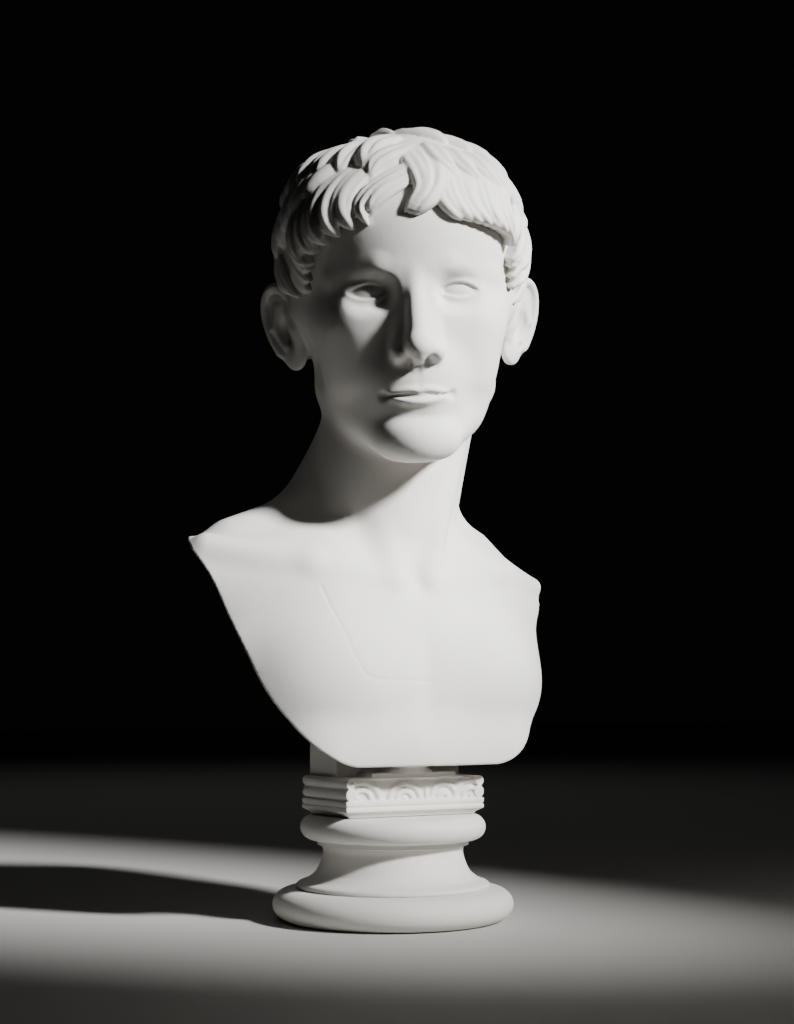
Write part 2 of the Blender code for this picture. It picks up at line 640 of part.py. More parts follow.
# Relief of the field, as bands (inner radius, outer radius, height share) round a centre: two
# large scrolls running out to the rolled ends, two leaves between them.
SCROLLS = (
    (-1, 48.5, ((0.4, 12.5, 1.0), (15.3, 20.5, 0.74))),
    (1, 50.5, ((0.4, 8.5, 1.0), (10.5, 14.0, 0.95))),
)
SCROLL_ENDS = ((15.2, 4.0), (22.9, 3.4))
LEAVES = (
    (-7.5, ((9.8, 12.4, 1.1), (5.6, 8.0, 1.02), (0.4, 3.6, 0.8))),
    (22.5, ((6.2, 8.2, 1.25), (0.4, 4.4, 1.1))),
)
half_w = TABLET_WIDTH / 2
half_d = TABLET_DEPTH / 2
unit = TABLET_HEIGHT / 30
rings = [(half_w - a * unit, half_d - b * unit, TABLET_FLOOR + c * unit) for a, b, c in TABLET_STEPS]
tablet = ring_stack("tablet", rings)
field_front = half_d - 2.2 * unit
relief = (-(field_front + 1.6 * unit), -(field_front - 2 * unit))
base = TABLET_FLOOR + 11.2 * unit
for side, hub, bands in SCROLLS:
    turn = (0, 90) if side < 0 else (180, 90)
    centre = (side * (half_w - (57 - hub) * unit), base)
    for inner, outer, tall in bands:
        name = "scroll band %d %d" % (side, outer)
        add_to(tablet, arc_band(name, centre, inner * unit, outer * unit, turn, relief, tall))
    for level, radius in SCROLL_ENDS:
        name = "scroll end %d %d" % (side, level)
        centre = (side * (half_w - radius * unit), TABLET_FLOOR + level * unit)
        add_to(tablet, roll(name, centre, radius * unit, TABLET_DEPTH - 0.6 * unit))
for middle, bands in LEAVES:
    for inner, outer, tall in bands:
        name = "leaf %d %d" % (middle, outer)
        centre = (middle * unit, base)
        add_to(tablet, arc_band(name, centre, inner * unit, outer * unit, (0, 180), relief, tall, 10))
bake(tablet)

# The bust: carved form, locks laid over it, thinned out and joined to the tablet.
shape = rough_shape("bust form", body_form, FIGURE_LOW, FIGURE_HIGH, 4.0)
remesh(shape, 3.0)
carve(shape, body_form, 3, 4)
remesh(shape, 2.0)
carve(shape, body_form, 2, 2)
joined = bmesh.new()
for piece in (shape, hair_cap("hair cap"), hair_shape("locks", lock_rows() + lock_fans())):
    joined.from_mesh(piece.data)
mesh = bpy.data.meshes.new("bust")
joined.to_mesh(mesh)
joined.free()
bust = add_object("bust", mesh, part)
remesh(bust, 1.9)
spots = np.array([v.co for v in bust.data.vertices]) @ HEAD_TURNED[:3, :3].T + HEAD_TURNED[:3, 3]
in_face = (spots[:, 1] < -55) & (np.abs(spots[:, 0]) < 54) & (np.abs(spots[:, 2] + 32) < 60)
group = bust.vertex_groups.new(name="thinned")
group.add(np.flatnonzero(~in_face).tolist(), 1.0, "REPLACE")
group.add(np.flatnonzero(in_face).tolist(), 0.5, "REPLACE")
thin = bust.modifiers.new("facets", "DECIMATE")
thin.vertex_group = "thinned"
thin.vertex_group_factor = FACE_CARE
thin.ratio = (BUST_TRIANGLES - 1300) / (2 * len(bust.data.polygons))
bake(bust)
bust.data.transform(PLACE)
add_to(bust, tablet)
bust.data.materials.append(material("Plaster cast, matt white", (0.78, 0.77, 0.74), 0.75))

# The foot, turned about the Z axis: lower roll, lip, hollow waist, fillet and upper roll.
# Its profile is given as shares of the foot's radius and height, from the bottom up.
def swell(centre, across, level, tall, start, stop, count=7):
    angles = [math.radians(start + (stop - start) * i / (count - 1)) for i in range(count)]
    return [(centre + across * math.cos(a), level + tall * math.sin(a)) for a in angles]


profile = [(0, 0)]
profile += swell(0.845, 0.155, 0.150, 0.150, -90, 78)
profile += [(0.793, 0.306), (0.802, 0.320), (0.799, 0.343), (0.780, 0.360), (0.720, 0.384)]
profile += [(0.688, 0.410), (0.642, 0.458), (0.606, 0.542), (0.583, 0.640), (0.592, 0.708)]
profile += [(0.630, 0.716), (0.630, 0.760)]
profile += swell(0.670, 0.103, 0.882, 0.118, -76, 90)
profile += [(0, 1)]
profile = [(SOCLE_RADIUS * r, SOCLE_HEIGHT * z) for r, z in reversed(profile)]
bm = bmesh.new()
line = [bm.verts.new((r, 0, z)) for r, z in profile]
for a, b in zip(line, line[1:]):
    bm.edges.new((a, b))
mesh = bpy.data.meshes.new("socle")
bm.to_mesh(mesh)
bm.free()
socle = add_object("socle", mesh, part)
spin = socle.modifiers.new("turning", "SCREW")
spin.steps = SOCLE_STEPS
spin.render_steps = SOCLE_STEPS
spin.use_merge_vertices = True
spin.merge_threshold = 0.0001
socle.data.materials.append(material("Plaster foot, matt white", (0.80, 0.79, 0.76), 0.72))
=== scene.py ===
import math

import bmesh
import bpy
import numpy as np
from mathutils import Euler, Matrix, Vector


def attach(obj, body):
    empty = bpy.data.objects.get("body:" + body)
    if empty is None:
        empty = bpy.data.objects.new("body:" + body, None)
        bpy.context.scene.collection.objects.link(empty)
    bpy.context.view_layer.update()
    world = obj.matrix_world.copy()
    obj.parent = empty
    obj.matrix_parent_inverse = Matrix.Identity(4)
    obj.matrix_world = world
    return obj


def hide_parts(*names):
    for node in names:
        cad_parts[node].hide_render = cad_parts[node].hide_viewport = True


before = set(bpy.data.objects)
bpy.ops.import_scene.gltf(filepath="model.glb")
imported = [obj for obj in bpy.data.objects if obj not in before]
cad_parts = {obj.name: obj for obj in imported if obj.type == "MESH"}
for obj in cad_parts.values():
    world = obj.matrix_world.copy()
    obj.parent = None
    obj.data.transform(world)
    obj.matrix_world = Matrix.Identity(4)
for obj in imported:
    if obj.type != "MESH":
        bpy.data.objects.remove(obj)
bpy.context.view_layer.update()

# The figure is drawn in its own units, close to millimetres, standing on the tablet.
figure = {
    "tabletTop": 100.3,  # level of the tablet's top in the figure's units
    "top": 552.3,
    "height": 0.452,  # metres, tablet top to the top of the hair
    "tabletFloor": 0.0703,
    "tabletHeight": 0.030,
    "headAt": (3, -9.5, 429.5),
    "headTurn": -25.0,
    "headNod": 10.0,
    "headLean": -2.5,
    "headUnits": 228.0,  # skull to chin on the figure
    "faceUnits": 235.0,  # skull to chin as the head's own forms are drawn
    "wall": 27.0,  # thickness of the chest before its hollow
    "shoulderDrop": 0.08,  # fall of the figure's left shoulder
}
place = (
    Matrix.Translation((0, 0, figure["tabletFloor"] + figure["tabletHeight"]))
    @ Matrix.Scale(figure["height"] / (figure["top"] - figure["tabletTop"]), 4)
    @ Matrix.Translation((0, 0, -figure["tabletTop"]))
)
headPlace = (
    Matrix.Translation(figure["headAt"])
    @ Matrix.Rotation(math.radians(figure["headTurn"]), 4, "Z")
    @ Matrix.Rotation(math.radians(figure["headNod"]), 4, "X")
    @ Matrix.Rotation(math.radians(figure["headLean"]), 4, "Y")
    @ Matrix.Scale(figure["headUnits"] / figure["faceUnits"], 4)
)
headTurned = np.array(headPlace.inverted())


def newObject(name, mesh):
    made = bpy.data.objects.new(name, mesh)
    bpy.context.scene.collection.objects.link(made)
    return made


def fromBmesh(name, bm):
    mesh = bpy.data.meshes.new(name)
    bm.to_mesh(mesh)
    bm.free()
    return newObject(name, mesh)


def applyModifiers(piece):
    graph = bpy.context.evaluated_depsgraph_get()
    mesh = bpy.data.meshes.new_from_object(piece.evaluated_get(graph))
    piece.modifiers.clear()
    piece.data = mesh


def remesh(piece, cell):
    cells = piece.modifiers.new("cells", "REMESH")
    cells.mode = "VOXEL"
    cells.voxel_size = cell
    applyModifiers(piece)


def thin(piece, triangles):
    now = sum(len(p.vertices) - 2 for p in piece.data.polygons)
    if now > triangles:
        fewer = piece.modifiers.new("fewer", "DECIMATE")
        fewer.ratio = triangles / now
        applyModifiers(piece)


def finishPiece(piece, node, material):
    piece.data.materials.append(material)
    piece.data.shade_smooth()
    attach(piece, "root")
    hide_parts(node)


# Rounded forms: each gives the distance from points to its surface, negative inside.
def ball(p, centre, radii, turn=(0, 0, 0)):
    q = p - np.array(centre, float)
    if any(turn):
        q = q @ np.array(Euler([math.radians(a) for a in turn]).to_matrix())
    r = np.array(radii, float)
    near = np.sqrt(((q / r) ** 2).sum(1)) + 1e-9
    slope = np.sqrt(((q / (r * r)) ** 2).sum(1)) + 1e-9
    return near * (near - 1) / slope


def rod(p, start, end, r0, r1):
    start = np.array(start, float)
    along = np.array(end, float) - start
    q = p - start
    share = np.clip((q @ along) / (along @ along), 0, 1)
    return np.sqrt(((q - share[:, None] * along) ** 2).sum(1)) - (r0 + (r1 - r0) * share)


def join(a, b, soft):
    h = np.maximum(soft - np.abs(a - b), 0) / soft
    return np.minimum(a, b) - h * h * soft * 0.25


def cut(a, b, soft):
    return -join(-a, b, soft)


def both(a, b, soft):
    return -join(-a, -b, soft)


def fold(p):
    q = p.copy()
    q[:, 0] = np.abs(q[:, 0])
    return q


def ease(a, b, x):
    t = np.clip((x - a) / (b - a), 0, 1)
    return t * t * (3 - 2 * t)


def curve(at, knots, values):
    # smooth curve through a few values, straight beyond its ends
    k = np.array(knots, float)
    v = np.array(values, float)
    slope = np.gradient(v, k)
    i = np.clip(np.searchsorted(k, at) - 1, 0, len(k) - 2)
    wide = k[i + 1] - k[i]
    t = np.clip((at - k[i]) / wide, 0, 1)
    inner = (2 * t ** 3 - 3 * t ** 2 + 1) * v[i] + (3 * t ** 2 - 2 * t ** 3) * v[i + 1]
    bent = (t ** 3 - 2 * t ** 2 + t) * slope[i] + (t ** 3 - t ** 2) * slope[i + 1]
    past = np.minimum(at - k[0], 0) * slope[0] + np.maximum(at - k[-1], 0) * slope[-1]
    return inner + bent * wide + past


def skullForm(q):
    d = ball(q, (0, 11, 30), (81, 90, 86))
    return join(d, ball(q, (0, -28, 40), (67, 62, 52)), 25)


def lidEdge(x, peak, top, corner=-1.2, inner=15.5, outer=47.5):
    t = np.clip((x - inner) / (outer - inner), 0, 1)
    w = t ** (math.log(0.5) / math.log(peak))
    return corner + (top - corner) * np.sin(np.pi * w) ** 0.8


def noseForm(q):
    d = rod(q, (0, -81, 13), (0, -101.5, -34), 6.2, 7.4)
    d = join(d, rod(q, (6, -79, -2), (9.5, -89, -37), 5.8, 7.6), 8)
    d = join(d, ball(q, (0, -101.5, -38.5), (9.5, 10, 8.5)), 5)
    d = join(d, ball(q, (12.4, -91.5, -42.5), (5.8, 9.0, 6.8), (0, 0, 10)), 5)
    d = join(d, rod(q, (0, -103.5, -45), (0, -91, -48.8), 3.4, 4.4), 3)
    return cut(d, ball(q, (6.2, -96.5, -51.8), (2.6, 5, 4), (0, 0, 14)), 1.5)


def lipForm(q, level, across, deep, tall, bend, bow=0.0):
    # a lip is a flat cushion round the teeth, bent down or up at its ends
    lip = q.copy()
    lip[:, 2] += bend * q[:, 0] ** 2 + bow * np.exp(-(q[:, 0] / 3.5) ** 2)
    return ball(lip, (0, -76, level), (across, deep, tall))


def faceForm(q):
    x, y, z = q[:, 0], q[:, 1], q[:, 2]
    d = skullForm(q)
    d = join(d, ball(q, (0, -8, 2), (72, 74, 60)), 22)
    d = join(d, ball(q, (0, -36, -33), (55, 50, 56)), 20)
    d = join(d, ball(q, (0, -20, -60), (56, 56, 48)), 18)
    # cheekbone, its arch back to the ear, the cheek and the jaw
    d = join(d, ball(q, (41, -46, -21), (19, 25, 15)), 24)
    d = join(d, rod(q, (51, -40, -14), (70, 0, -6), 7, 7), 20)
    d = join(d, ball(q, (36, -38, -46), (20, 26, 28)), 22)
    d = join(d, rod(q, (60, 8, -14), (50, 6, -64), 11, 10), 20)
    d = join(d, rod(q, (49, 4, -66), (17, -68, -100), 11, 14), 20)
    d = join(d, ball(q, (0, -22, -86), (44, 54, 20)), 16)
    d = join(d, ball(q, (0, -66, -62), (31, 25, 32)), 14)
    d = join(d, ball(q, (0, -77, -101), (20, 15.5, 16)), 14)
    # brow, eye hollows, nose
    d = join(d, rod(q, (0, -79, 15), (22, -77, 18.5), 6, 6), 9)
    d = join(d, rod(q, (22, -77, 18.5), (51, -60, 11), 6, 5), 9)
    d = cut(d, ball(q, (22, -89, -2), (8, 15, 9)), 8)
    d = cut(d, ball(q, (34, -89, -2), (16, 15, 12), (0, 0, 14)), 8)
    d = join(d, noseForm(q), 6)
    # blank eyeball between two lids, under the fold of the brow
    d = join(d, rod(q, (20, -71.5, 12.5), (47, -58, 8.5), 5, 5), 4)
    eye, turned = (31.5, -62.5, 0), (0, 0, 12)
    d = join(d, both(ball(q, eye, (19.5, 16.4, 15.8), turned), lidEdge(x, 0.43, 5.6) - z, 0.8), 2.5)
    d = join(d, both(ball(q, eye, (19.0, 15.8, 15.2), turned), z - lidEdge(x, 0.58, -5.0), 0.8), 3.5)
    d = join(d, ball(q, eye, (17.2, 13.9, 13.6), turned), 0.5)
    # lips, the line between them, and the folds around
    d = join(d, lipForm(q, -67.0, 24, 17.2, 4.8, 0.0062, 1.2), 2.5)
    d = join(d, lipForm(q, -75.6, 22, 16.6, 5.2, -0.0085), 3)
    d = cut(d, rod(q, (0, -95.0, -71.2), (24, -83.2, -71.2), 1.5, 0.9), 1.4)
    d = cut(d, ball(q, (24.5, -84, -71.3), (2.4, 3.2, 2)), 4)
    d = cut(d, rod(q, (0, -95.3, -53), (0, -95.8, -61), 2.4, 3.0), 3)
    front = ease(-60, -80, y)
    return d + 2.0 * np.exp(-((z + 86.5) / 5.5) ** 2 - (x / 19) ** 2) * front


ear = {
    "middle": (86.5, 13, -18.0),
    "tilt": -12,  # degrees that its top leans back
    "flare": 44,  # degrees that it stands off the head
    "half": 17.5,
    "tall": 33.0,
    "widening": 0.10,  # wider at the top than at the lobe
}


def earForm(q):
    tilt, flare = math.radians(ear["tilt"]), math.radians(ear["flare"])
    up = np.array((0.26, math.sin(-tilt), math.cos(tilt)))
    up /= np.linalg.norm(up)
    back = np.array((math.sin(flare), math.cos(flare), 0))
    back -= up * (up @ back)
    back /= np.linalg.norm(back)
    out = np.cross(back, up)
    out *= np.sign(out[0])
    r = q - np.array(ear["middle"])
    a, b, c = r @ back, r @ up, r @ out
    p = np.stack([a, b, c], 1)
    half, tall = ear["half"] + ear["widening"] * np.clip(b, -40, 40), ear["tall"]
    ring = np.sqrt((a / half) ** 2 + (b / tall) ** 2) + 1e-9
    slope = np.sqrt((tall * a / (half * ring)) ** 2 + (half * b / (tall * ring)) ** 2 + 1e-9)
    edge = (ring - 1) * half * tall / slope
    # dished plate, rolled rim, inner ridge, bowl, front flap, lobe and root
    d = both(edge, np.abs(c + 1.0 + 0.004 * a * a) - 2.6, 2)
    rim = np.sqrt((edge + 3.0) ** 2 + (c - 1.5) ** 2) - 3.3
    d = join(d, both(rim, -(b + 22), 6), 2)
    d = join(d, rod(p, (3, -14, 1.5), (7.5, 2, 2.2), 2.6, 2.8), 3)
    d = join(d, rod(p, (7.5, 2, 2.2), (1, 16, 0.5), 2.8, 2.4), 3)
    d = cut(d, ball(p, (-3.5, -3, 4.0), (8.5, 11.5, 7)), 3)
    d = join(d, ball(p, (-12.5, -7, 2.6), (3.4, 5.5, 3.4)), 3)
    d = join(d, ball(p, (-3.5, -25, 0.5), (9, 8.5, 3.6)), 4)
    return join(d, ball(p, (-10, -2, -9), (9, 20, 14)), 5)


def headForm(q):
    # only worked out near the head; further away a plain sphere stands for it
    far = np.sqrt(((q - (0, 5, 0)) ** 2).sum(1)) - 150
    near = far < 25
    d = far + 40.0
    n = fold(q[near])
    d[near] = join(faceForm(n), earForm(n), 2.5)
    return d


def fromHead(v):
    return tuple(headPlace @ Vector(v))


def neckForm(p):
    d = rod(p, fromHead((0, 0, -74)), (-4, 18, 236), 42, 40)
    d = join(d, rod(p, fromHead((0, 22, -50)), (-3, 32, 240), 39, 42), 18)
    for s in (1, -1):
        d = join(d, rod(p, fromHead((48 * s, 20, -50)), (13 * s, -24, 229), 10, 6), 11)
        d = join(d, rod(p, fromHead((50 * s, 26, -54)), (38 * s - 3, 0, 236), 8, 7), 14)
        d = join(d, rod(p, fromHead((24 * s, 46, -60)), (70 * s, 44, 258), 13, 12), 18)
    return join(d, ball(p, fromHead((0, -22, -118)), (13, 15, 20)), 14)


def frontForm(p):
    # chest mass, breast muscles, shoulder stumps, slope of the neck muscles, collarbones;
    # the figure's left shoulder sits lower than the right one
    q = fold(p)
    drop = np.maximum(p[:, 0] - 40, 0) + 4.5 * np.maximum(p[:, 0] - 95, 0)
    q[:, 2] += figure["shoulderDrop"] * drop * ease(190, 240, p[:, 2])
    d = ball(q, (0, 54, 140), (155, 104, 155))
    d = join(d, ball(q, (54, -11, 163), (49, 38, 42)), 22)
    d = join(d, rod(q, (0, -18, 112), (62, -12, 110), 36, 37), 12)
    d = join(d, rod(q, (55, 14, 229), (140, 46, 226), 32, 32), 24)
    d = join(d, rod(q, (28, 36, 282), (100, 44, 251), 20, 22), 14)
    d = join(d, rod(q, (14, -24, 225), (70, -10, 238), 6, 7), 10)
    return join(d, rod(q, (70, -10, 238), (132, 20, 250), 7, 8), 12)


# Outline of the chest, sawn off in a round from shoulder to shoulder.
outline = {
    "level": (104, 112, 120, 136, 152, 176, 200, 232, 256),
    "half": (60.5, 71, 81, 95.2, 105.4, 115.5, 122.9, 131.3, 134.5),  # half width at each level
    "deep": (-50, -42, -36.2, -28, -20.9, -11, 1.6, 16, 42),
    "floor": 104.3,
    "slant": 38.0,  # degrees that the side cuts run inward
}


def outlineForm(p):
    q = fold(p)
    x, y, z = q[:, 0], q[:, 1], q[:, 2]
    half = curve(z, outline["level"], outline["half"])
    deep = curve(z, outline["level"], outline["deep"])
    slope = curve(z + 1, outline["level"], outline["half"]) - half
    beta = math.radians(outline["slant"])
    side = (x - half) * math.cos(beta) + (y - deep) * math.sin(beta)
    return both(side / np.sqrt(1 + (slope * math.cos(beta)) ** 2), outline["floor"] - z, 4)


pillar = {"middle": (0, 11.5, 164), "half": (47, 18.5, 68), "round": 1.5}


def pillarForm(p):
    q = np.abs(p - np.array(pillar["middle"])) - np.array(pillar["half"])
    return np.minimum(q.max(1), 0) + np.sqrt((np.maximum(q, 0) ** 2).sum(1)) - pillar["round"]


# Faint line that the mould left on the right breast: places across and up the chest.
seam = {"path": ((-69, 223), (-57, 176), (-50, 164), (-40, 161), (2, 160)), "deep": 0.35, "wide": 1.1}


def seamForm(p):
    xz = p[:, [0, 2]]
    best = np.full(len(p), 1e3)
    for a, b in zip(seam["path"], seam["path"][1:]):
        a = np.array(a, float)
        along = np.array(b, float) - a
        share = np.clip(((xz - a) @ along) / (along @ along), 0, 1)
        best = np.minimum(best, np.sqrt(((xz - a - share[:, None] * along) ** 2).sum(1)))
    return seam["deep"] * np.exp(-(best / seam["wide"]) ** 2) * ease(0, -20, p[:, 1])


def bodyForm(p):
    x, y, z = p[:, 0], p[:, 1], p[:, 2]
    front = frontForm(p)
    # chest cut flat behind, neck, the hollow behind the chest, the sawn outline, the pillar
    full = join(both(front, y - 64, 14), neckForm(p), 12)
    hollow = both(front + figure["wall"], z - (222 - 0.0012 * x * x), 18)
    d = cut(full, hollow, 6)
    d = both(d, outlineForm(p), 1.5)
    d = join(d, pillarForm(p), 6)
    # low flared neck on the tablet, then the head
    flare = join(ball(p, (0, -13, 98.5), (30, 16, 5.5)), ball(p, (0, -15, 105), (13, 13, 10)), 7)
    d = join(d, flare, 3)
    head = headForm(np.array(p @ headTurned[:3, :3].T + headTurned[:3, 3]))
    d = join(d, head * (figure["headUnits"] / figure["faceUnits"]), 9)
    # pit of the neck and the furrow between the breast muscles
    facing = ease(0, -15, y)
    d = d + 3.0 * np.exp(-((x / 11) ** 2 + ((z - 227) / 12) ** 2)) * facing
    d = d + 1.6 * np.exp(-(x / 9) ** 2) * ease(100, 135, z) * ease(215, 180, z) * facing
    return d + seamForm(p)


def carve(piece, form, steps, limit, bySlope=True):
    # moves every vertex onto the form, down its slope or along the vertex normal
    mesh = piece.data
    co = np.empty(len(mesh.vertices) * 3, np.float64)
    nr = np.empty(len(mesh.vertices) * 3, np.float32)
    for step in range(steps):
        mesh.vertices.foreach_get("co", co)
        p = co.reshape(-1, 3)
        d = form(p)
        if bySlope:
            g = np.stack([form(p + e) - d for e in np.eye(3) * 0.3], 1)
            g /= np.linalg.norm(g, axis=1)[:, None] + 1e-9
        else:
            mesh.vertex_normals.foreach_get("vector", nr)
            g = nr.reshape(-1, 3)
        p = p - np.clip(d, -limit, limit)[:, None] * g
        mesh.vertices.foreach_set("co", p.ravel())
        mesh.update()


# Figure without its hair: a copy of the CAD bust above its tablet, carved finer and finer until
# the locks are gone and the skin is smooth.
body = {
    "footCut": 100.5,
    "rounds": ((3.0, 7, 7), (2.2, 3, 4), (1.6, 2, 3)),  # cell, steps and furthest move of a step
    "fineRound": (1.15, 3, 2),
    "triangles": 194000,
}


def makeBody():
    bm = bmesh.new()
    bm.from_mesh(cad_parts["bust"].data)
    bmesh.ops.remove_doubles(bm, verts=bm.verts, dist=1e-6)
    bm.transform(place.inverted())
    geom = bm.verts[:] + bm.edges[:] + bm.faces[:]
    foot = (0, 0, body["footCut"])
    bmesh.ops.bisect_plane(bm, geom=geom, plane_co=foot, plane_no=(0, 0, 1), clear_inner=True)
    bmesh.ops.holes_fill(bm, edges=[e for e in bm.edges if e.is_boundary], sides=0)
    bmesh.ops.triangulate(bm, faces=bm.faces)
    piece = fromBmesh("bustBody", bm)
    for cell, steps, limit in body["rounds"]:
        remesh(piece, cell)
        carve(piece, bodyForm, steps, limit)
    cell, steps, limit = body["fineRound"]
    remesh(piece, cell)
    carve(piece, bodyForm, steps, limit, bySlope=False)
    print("body carved", len(piece.data.vertices), flush=True)
    thin(piece, body["triangles"])
    piece.data.transform(place)
    return piece


# Hair. Places on the scalp are two angles: away from the whorl at the back of the crown, and
# around it, with zero over the nose and + to the figure's left.
hair = {
    "rows": 5,
    "width": 13.5,
    "blunt": 4.2,
    "high": 7.5,
    "round": 92,  # radius of the head under the hair
    "lift": (2.0, 5.5),  # the hair stands this far off the skull, and this much more at the sides
    "sink": 8.5,  # depth of the locks' undersides
    "strands": (2, 3, 3),  # strands of a lock, picked at random
    "groove": 0.34,  # depth between strands as a share of the lock's height
    "around": 36,
    "along": 22,
    "reach": 1.9,  # length of a lock in the gaps between two rows
    "bow": 6.5,  # how far a lock bends aside, and how far its tip hooks back
    "hook": 7.0,
    "wider": 1.34,  # locks of a row overlap by this much
    "brow": (-75, 58, 46),  # the rows leave this part to the fans: around from, to, away from
    "rowHigh": (0.85, 0.75, 0.95),  # heights as a share on the crown, at the front, behind
    "closed": 0.10,  # share of a lock in which its root and tip round off
    "seed": 3,
    "cell": 1.0,
    "triangles": 194000,
    "edge": (
        (0, -86, 47), (30, -80, 46), (56, -60, 38), (68, -36, 22), (72, -20, -12), (78, -2, 12),
        (80, 16, 24), (76, 34, 4), (68, 42, -34), (52, 56, -62), (30, 72, -72), (0, 78, -74),
    ),
    # fans over the brow and temples: the first and last lock, from root to tip, how many locks
    # the fan has, their width, their height as a share, and how blunt they end
    "browFans": (
        (((78, -46), (86, -51), (94, -53), (102, -54), (110, -53)),
         ((74, -10), (84, -20), (93, -26), (100, -27), (107, -24)), 5, 18, 0.85, 9),
        (((80, 3), (88, -7), (94, -15), (100, -20), (107, -18)),
         ((86, 1), (91, -5), (95, -11), (99, -15), (103, -17)), 2, 14.5, 0.9, 4.5),
        (((62, 3), (69, -2), (75, -8), (80, -13), (87, -16)),
         ((64, -4), (69, -8), (74, -12), (78, -16), (83, -19)), 2, 16, 1.0, 5),
        (((50, -3), (57, -9), (65, -14), (73, -17), (82, -18)),
         ((48, -52), (54, -57), (60, -62), (66, -67), (72, -72)), 6, 21, 1.3, 9),
        (((62, -20), (69, -28), (76, -36), (81, -42), (86, -46)),
         ((64, -62), (71, -68), (78, -73), (85, -77), (92, -80)), 5, 22, 1.0, 9),
        (((66, -1), (78, 1), (88, 3), (96, 3), (104, -4)),
         ((62, 8), (78, 11), (91, 10), (99, 6), (105, 0)), 3, 15, 0.95, 6),
        (((78, 13), (87, 11), (95, 11), (101, 14), (105, 20)),
         ((76, 44), (86, 40), (94, 39), (99, 41), (103, 47)), 7, 15, 0.85, 8),
        (((58, 14), (66, 12), (74, 12), (81, 14), (88, 20)),
         ((60, 46), (68, 42), (75, 41), (82, 43), (89, 50)), 4, 18, 0.95, 5),
        (((36, -4), (40, 4), (44, 12), (49, 19), (55, 24)),
         ((40, 40), (46, 47), (52, 53), (58, 59), (64, 64)), 4, 18, 1.05, 4.5),
    ),
    "sideFans": (
        (((78, 53), (87, 50), (95, 48), (101, 47), (106, 49)),
         ((86, 61), (93, 59), (100, 57), (107, 54), (111, 51)), 2, 14, 0.7, 5),
        (((96, 63), (101, 60), (106, 57), (110, 55), (113, 53)),
         ((104, 69), (108, 67), (112, 65), (116, 63), (119, 61)), 3, 13, 0.45, 5),
    ),
}
hairMiddle = np.array((0.0, 8, 22))
crownWay = np.array((0, 0.5, 0.866))
browWay = np.array((0, -0.866, 0.5))
leftWay = np.array((1.0, 0, 0))


def scalp(q):
    # the hair lies thicker over the temples than on the crown
    crownLift, sideLift = hair["lift"]
    return skullForm(fold(q)) - crownLift - sideLift * ease(25, 70, np.abs(q[:, 0]))


def scalpNormal(q):
    d = scalp(q)
    g = np.stack([scalp(q + e) - d for e in np.eye(3) * 0.2], 1)
    return g / (np.linalg.norm(g, axis=1)[:, None] + 1e-9)


def onScalp(away, around):
    r = np.radians(away)[:, None]
    s = np.radians(around)[:, None]
    ray = np.cos(r) * crownWay + np.sin(r) * (np.cos(s) * browWay + np.sin(s) * leftWay)
    t = np.full(len(away), 95.0)  # first guess, then steps along the ray up to the scalp
    for step in range(7):
        t = t - scalp(hairMiddle + t[:, None] * ray)
    return hairMiddle + t[:, None] * ray


def edgeAt(around):
    rows = []
    for point in hair["edge"]:
        v = np.array(point, float) - hairMiddle
        away = math.degrees(math.acos(v @ crownWay / np.linalg.norm(v)))
        rows.append((math.degrees(math.atan2(v @ leftWay, v @ browWay)), away))
    rows.sort()
    return np.interp(abs(around), [r[0] for r in rows], [r[1] for r in rows])


def lockRows():
    # overlapping rows of comma locks from the whorl down to the hair's edge
    rng = np.random.default_rng(hair["seed"])
    rows, width = hair["rows"], hair["width"]
    first, last, low = hair["brow"]
    crown, front, behind = hair["rowHigh"]
    locks = []
    for k in range(rows):
        around = -180.0
        while around < 179:
            edge = edgeAt(around)
            gap = edge / rows
            tip = edge - (rows - 1 - k) * gap
            root = max(tip - hair["reach"] * gap, 2.0)
            girth = hair["round"] * max(math.sin(math.radians(0.5 * (tip + root))), 0.12)
            step = math.degrees(width / girth)
            at = around + step * (0.5 if k % 2 else 0.0)
            jog = rng.normal(size=5)
            around += step
            if first < at < last and tip > low:
                continue
            hook = 1.0 if -150 < at < 60 else -1.0
            if abs(at) > 105:
                hook = 1.0 if math.sin(math.radians(at * 4 + 75 * k)) > 0 else -1.0
            bow = -hair["bow"] * hook * (1 + 0.2 * jog[0])
            turn = math.degrees(1 / (hair["round"] * max(math.sin(math.radians(tip)), 0.25)))
            steps = []
            for s in (0.0, 0.33, 0.67, 1.0):
                across = bow * math.sin(math.pi * s) + hair["hook"] * hook * s ** 3
                reached = root + (tip - root) * s + (1.5 if k < rows - 1 else 0.6) * jog[1]
                steps.append((max(reached, 1.0), at + jog[2] * step * 0.12 + across * turn))
            high = crown if tip < 50 else front if abs(at) < 100 else behind
            locks.append((steps, width * (hair["wider"] + 0.1 * jog[3]), high, hair["blunt"]))
    return locks


def lockFans():
    mirrored = [
        ([(a, -s) for a, s in first], [(a, -s) for a, s in last], *rest)
        for first, last, *rest in hair["sideFans"]
    ]
    locks = []
    for first, last, count, size, tall, blunt in (*hair["browFans"], *hair["sideFans"], *mirrored):
        for share in np.linspace(0, 1, count):
            locks.append((np.array(first) * (1 - share) + np.array(last) * share, size, tall, blunt))
    return locks


